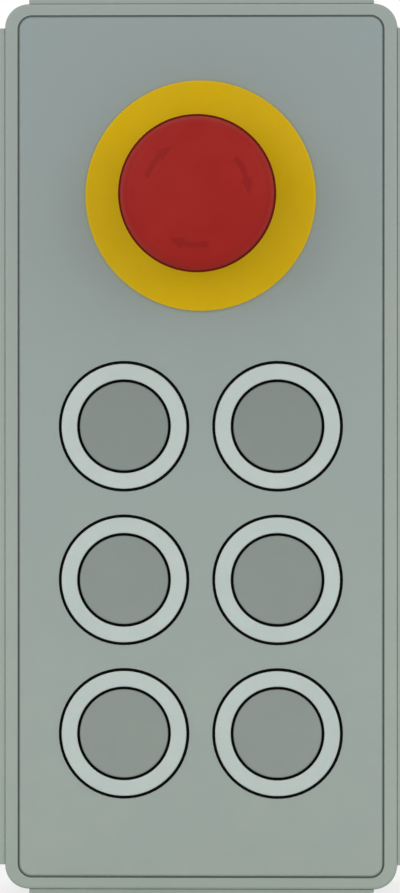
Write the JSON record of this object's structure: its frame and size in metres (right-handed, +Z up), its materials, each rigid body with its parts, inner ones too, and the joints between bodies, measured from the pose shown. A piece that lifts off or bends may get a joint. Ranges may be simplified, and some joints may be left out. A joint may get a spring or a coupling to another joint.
{
  "type": "keypad module",
  "caption": "Wall-mounted operator keypad in a flat metal housing: flush illuminated push keys under a red mushroom emergency-stop button on a yellow disc.",
  "frame": {"origin": "centre of the rear mounting face, in the wall plane", "axes": "+X to the viewer's right, +Y into the wall, +Z up; the keys face -Y"},
  "size_m": [0.1052, 0.0927, 0.2336],
  "materials": {
    "housing_metal": "satin grey-green powder coat",
    "plate_finish": "fine matt grey film on sheet",
    "gasket_rubber": "matt black rubber",
    "tape_foam": "closed-cell foam tape",
    "fastener_steel": "zinc-plated steel",
    "spring_steel": "drawn spring wire",
    "ring_plastic": "translucent light-grey diffuser",
    "cap_plastic": "matt mid-grey moulding",
    "black_plastic": "moulded black plastic",
    "board_laminate": "green solder mask",
    "header_plastic": "moulded green plastic",
    "led_plastic": "white light emitter",
    "stop_red": "satin red moulding",
    "stop_yellow": "satin yellow plate",
    "collar_plastic": "moulded dark-grey plastic",
    "contact_plastic": "moulded light-grey plastic"
  },
  "bodies": {
    "housing": {"front_frame": "housing_metal", "wall_top": "housing_metal", "wall_left": "housing_metal", "wall_bottom": "housing_metal", "wall_right": "housing_metal", "corner_posts": "housing_metal", "rear_cover": "housing_metal", "front_plate": "plate_finish", "front_gasket": "gasket_rubber", "rear_gasket": "gasket_rubber", "key_seals": "gasket_rubber", "stop_seal": "gasket_rubber", "cable_grommet": "gasket_rubber", "plate_tape": "tape_foam", "housing_screws": "fastener_steel", "mount_nuts": "fastener_steel", "board_screws": "fastener_steel", "board_standoffs": "fastener_steel", "terminal_screws": "fastener_steel", "stop_nut": "fastener_steel", "stop_spring": "spring_steel", "contact_springs": "spring_steel", "key_spring_1": "spring_steel", "key_spring_2": "spring_steel", "key_spring_3": "spring_steel", "key_spring_4": "spring_steel", "key_spring_5": "spring_steel", "key_spring_6": "spring_steel", "key_ring_1": "ring_plastic", "key_ring_2": "ring_plastic", "key_ring_3": "ring_plastic", "key_ring_4": "ring_plastic", "key_ring_5": "ring_plastic", "key_ring_6": "ring_plastic", "key_guides": "black_plastic", "key_switches": "black_plastic", "stop_coupler": "black_plastic", "controller_chip": "black_plastic", "key_board": "board_laminate", "wire_header": "header_plastic", "ring_leds": "led_plastic", "stop_disc": "stop_yellow", "stop_body": "collar_plastic", "contact_blocks": "contact_plastic"},
    "stop_pusher": {"stop_pusher": "black_plastic", "contact_plungers": "black_plastic"},
    "stop_head": {"stop_head": "stop_red", "stop_shaft": "fastener_steel"},
    "key_1": {"key_cap_1": "cap_plastic", "key_plunger_1": "black_plastic"},
    "key_2": {"key_cap_2": "cap_plastic", "key_plunger_2": "black_plastic"},
    "key_3": {"key_cap_3": "cap_plastic", "key_plunger_3": "black_plastic"},
    "key_4": {"key_cap_4": "cap_plastic", "key_plunger_4": "black_plastic"},
    "key_5": {"key_cap_5": "cap_plastic", "key_plunger_5": "black_plastic"},
    "key_6": {"key_cap_6": "cap_plastic", "key_plunger_6": "black_plastic"}
  },
  "joints": [
    {"name": "stop_push", "type": "slide", "parent": "housing", "child": "stop_pusher", "axis": [0, 1, 0], "range_m": [0, 0.005], "deforming": ["stop_spring", "contact_springs"]},
    {"name": "stop_twist", "type": "hinge", "parent": "stop_pusher", "child": "stop_head", "pos_m": [0, -0.07, 0.0653], "axis": [0, 1, 0], "range_deg": [0, 45], "stiffness_Nm_per_rad": 0.05},
    {"name": "key_1_press", "type": "slide", "parent": "housing", "child": "key_1", "axis": [0, 1, 0], "range_m": [0, 0.002], "stiffness_N_per_m": 800, "springref_m": -0.001, "deforming": ["key_spring_1"]},
    {"name": "key_2_press", "type": "slide", "parent": "housing", "child": "key_2", "axis": [0, 1, 0], "range_m": [0, 0.002], "stiffness_N_per_m": 800, "springref_m": -0.001, "deforming": ["key_spring_2"]},
    {"name": "key_3_press", "type": "slide", "parent": "housing", "child": "key_3", "axis": [0, 1, 0], "range_m": [0, 0.002], "stiffness_N_per_m": 800, "springref_m": -0.001, "deforming": ["key_spring_3"]},
    {"name": "key_4_press", "type": "slide", "parent": "housing", "child": "key_4", "axis": [0, 1, 0], "range_m": [0, 0.002], "stiffness_N_per_m": 800, "springref_m": -0.001, "deforming": ["key_spring_4"]},
    {"name": "key_5_press", "type": "slide", "parent": "housing", "child": "key_5", "axis": [0, 1, 0], "range_m": [0, 0.002], "stiffness_N_per_m": 800, "springref_m": -0.001, "deforming": ["key_spring_5"]},
    {"name": "key_6_press", "type": "slide", "parent": "housing", "child": "key_6", "axis": [0, 1, 0], "range_m": [0, 0.002], "stiffness_N_per_m": 800, "springref_m": -0.001, "deforming": ["key_spring_6"]}
  ]
}
